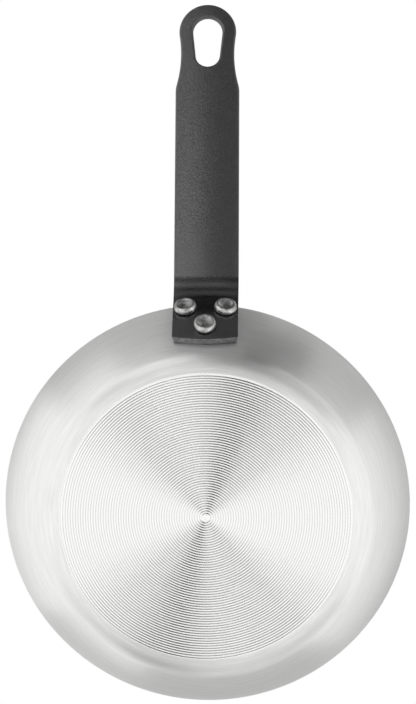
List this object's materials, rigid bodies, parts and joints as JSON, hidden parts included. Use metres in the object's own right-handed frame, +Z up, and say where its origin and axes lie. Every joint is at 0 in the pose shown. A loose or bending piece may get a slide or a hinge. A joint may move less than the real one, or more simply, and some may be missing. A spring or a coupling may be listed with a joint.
{
  "type": "blini pan",
  "caption": "Small round pressed frying pan with a low curved wall, spiral-turned flat base and a riveted flat strip handle that rises to a round tip with a tapered hanging slot.",
  "frame": {"origin": "middle of the underside, on the plane the pan stands on", "axes": "+Z up, out of the open side; +Y from the middle of the pan along the handle"},
  "size_m": [0.1198, 0.2047, 0.0579],
  "materials": {
    "pan_aluminium": "circular brushed wall, spiral-turned base, dark non-stick inside",
    "handle_coating": "charcoal powder coat, satin, fine grain",
    "rivet_aluminium": "plain drawn aluminium, lightly marked by riveting"
  },
  "bodies": {
    "root": {"pan_body": "pan_aluminium", "handle": "handle_coating", "rivet_left": "rivet_aluminium", "rivet_right": "rivet_aluminium", "rivet_lower": "rivet_aluminium"}
  },
  "joints": []
}
